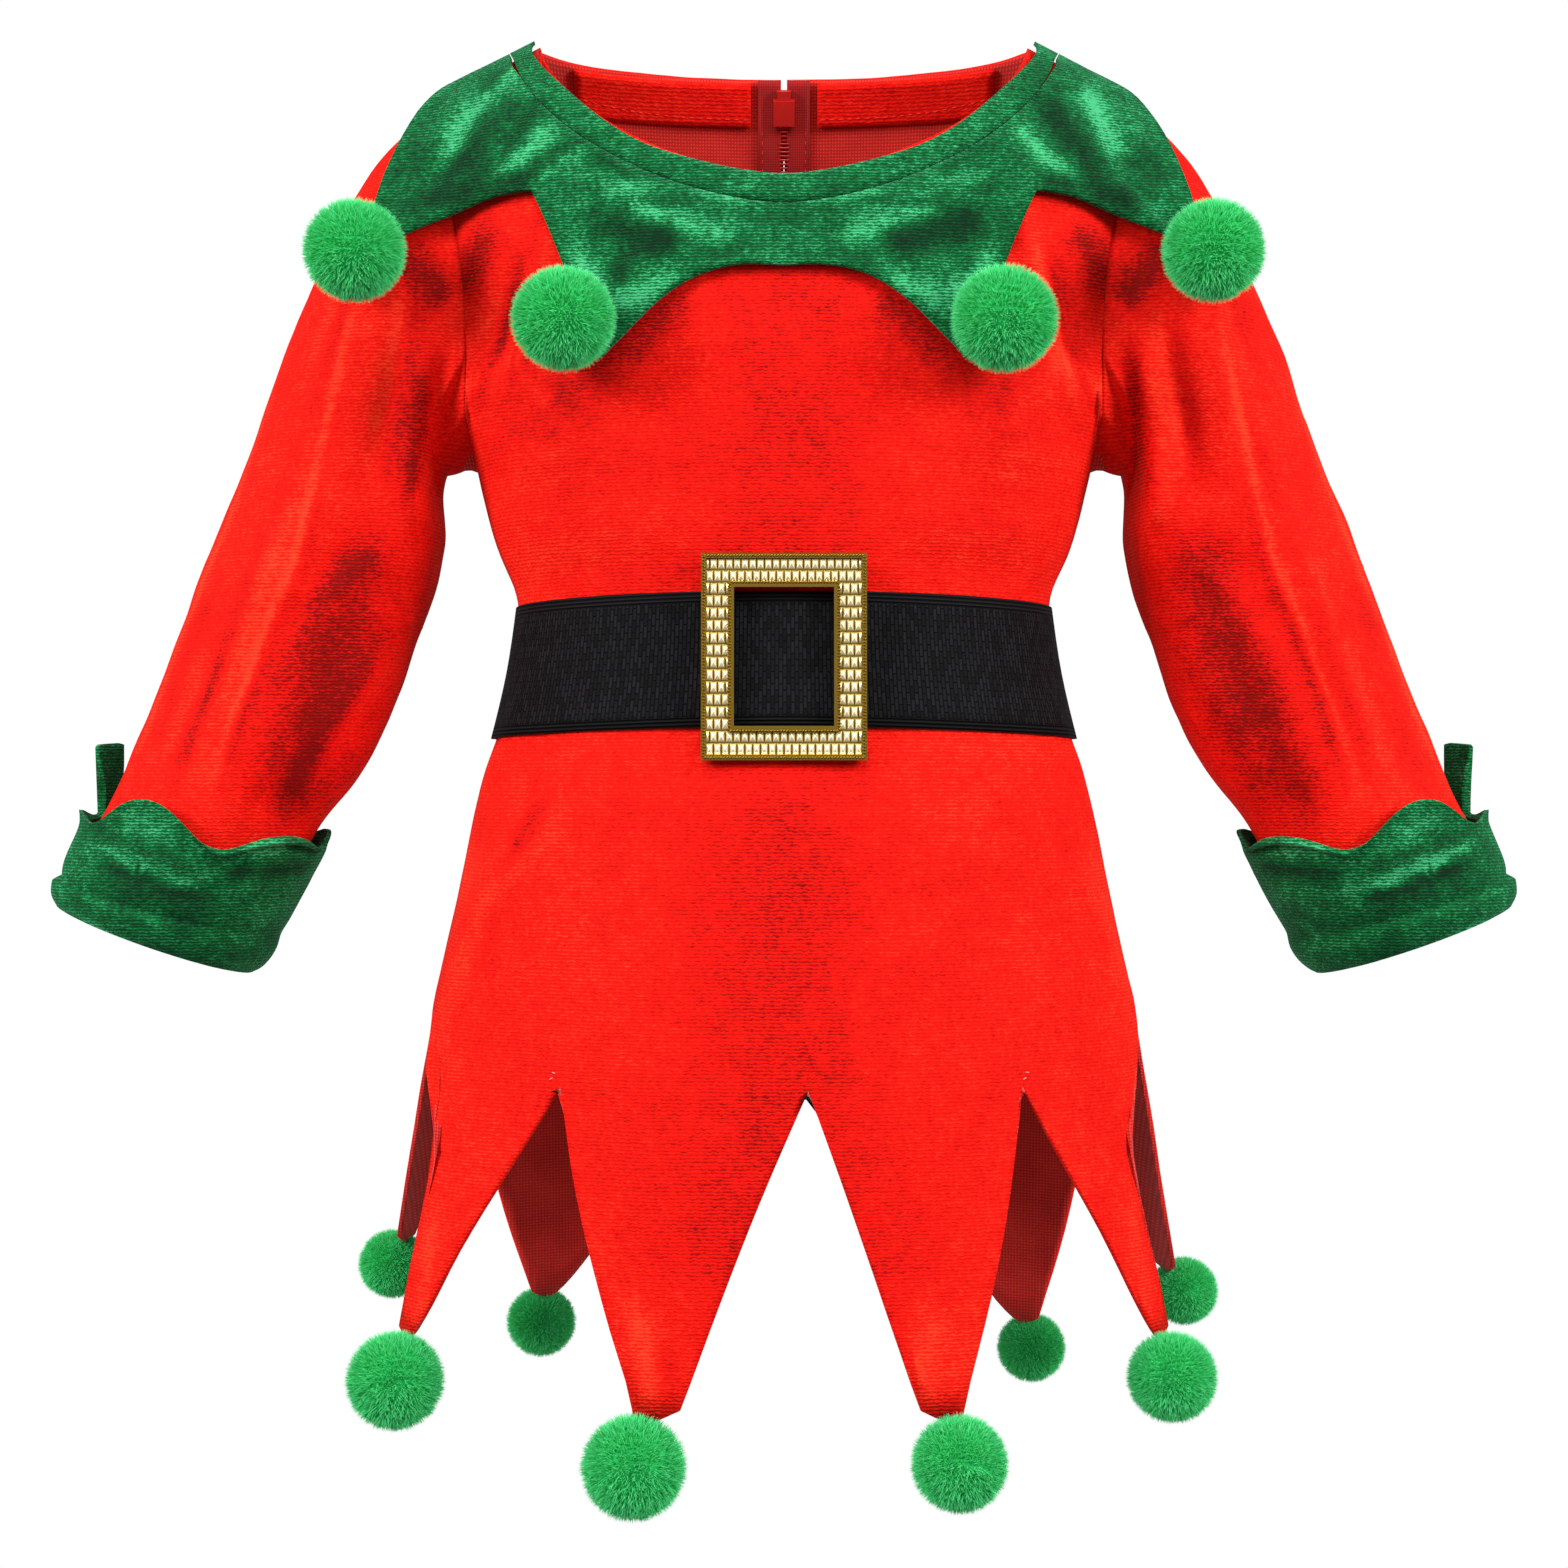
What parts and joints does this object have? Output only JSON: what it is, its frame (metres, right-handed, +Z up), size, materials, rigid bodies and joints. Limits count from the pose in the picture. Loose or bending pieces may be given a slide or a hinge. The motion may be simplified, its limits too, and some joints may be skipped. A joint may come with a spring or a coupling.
{
  "type": "child's elf costume dress, filled out with no wearer",
  "caption": "Long-sleeved velvet elf costume dress with a pointed hem, four-point collar, petal cuffs, pompoms, elastic belt and square buckle.",
  "frame": {"origin": "midway between the two neck points of the shoulder seams, where the wearer's shoulders hold the garment", "axes": "+Z up, -Y the garment's front, +X to the right as seen from the front"},
  "size_m": [0.5706, 0.2217, 0.5508],
  "materials": {
    "red_velvet": "stretch velvet, knit back",
    "green_velvet": "crushed stretch velvet",
    "green_yarn": "fluffy cut yarn",
    "black_elastic": "woven elastic",
    "gold_metal": "polished plated metal",
    "red_zip_tape": "woven polyester tape",
    "red_zip_metal": "gloss lacquer"
  },
  "bodies": {
    "garment": {"front": "red_velvet", "back_left": "red_velvet", "back_right": "red_velvet", "sleeve_left_upper": "red_velvet", "sleeve_left_lower": "red_velvet", "sleeve_right_upper": "red_velvet", "sleeve_right_lower": "red_velvet", "cuff_left": "green_velvet", "cuff_right": "green_velvet", "collar": "green_velvet", "neck_band": "green_velvet", "belt": "black_elastic", "buckle": "gold_metal", "zip_tape_left": "red_zip_tape", "back_facing_left": "red_velvet", "zip_tape_right": "red_zip_tape", "back_facing_right": "red_velvet", "zip_slider": "red_zip_metal", "pompom_collar_left_outer": "green_yarn", "pompom_collar_left_inner": "green_yarn", "pompom_collar_right_inner": "green_yarn", "pompom_collar_right_outer": "green_yarn", "pompom_front_left_side": "green_yarn", "pompom_front_left_centre": "green_yarn", "pompom_front_right_centre": "green_yarn", "pompom_front_right_side": "green_yarn", "pompom_back_left_side": "green_yarn", "pompom_back_left_centre": "green_yarn", "pompom_back_right_centre": "green_yarn", "pompom_back_right_side": "green_yarn"},
    "pull_tab": {"zip_pull": "red_zip_metal"}
  },
  "joints": [
    {"name": "pull_tab_swing", "type": "hinge", "parent": "garment", "child": "pull_tab", "pos_m": [0, 0.04855, -0.00912], "axis": [1, 0, 0], "range_deg": [0, 150]}
  ]
}
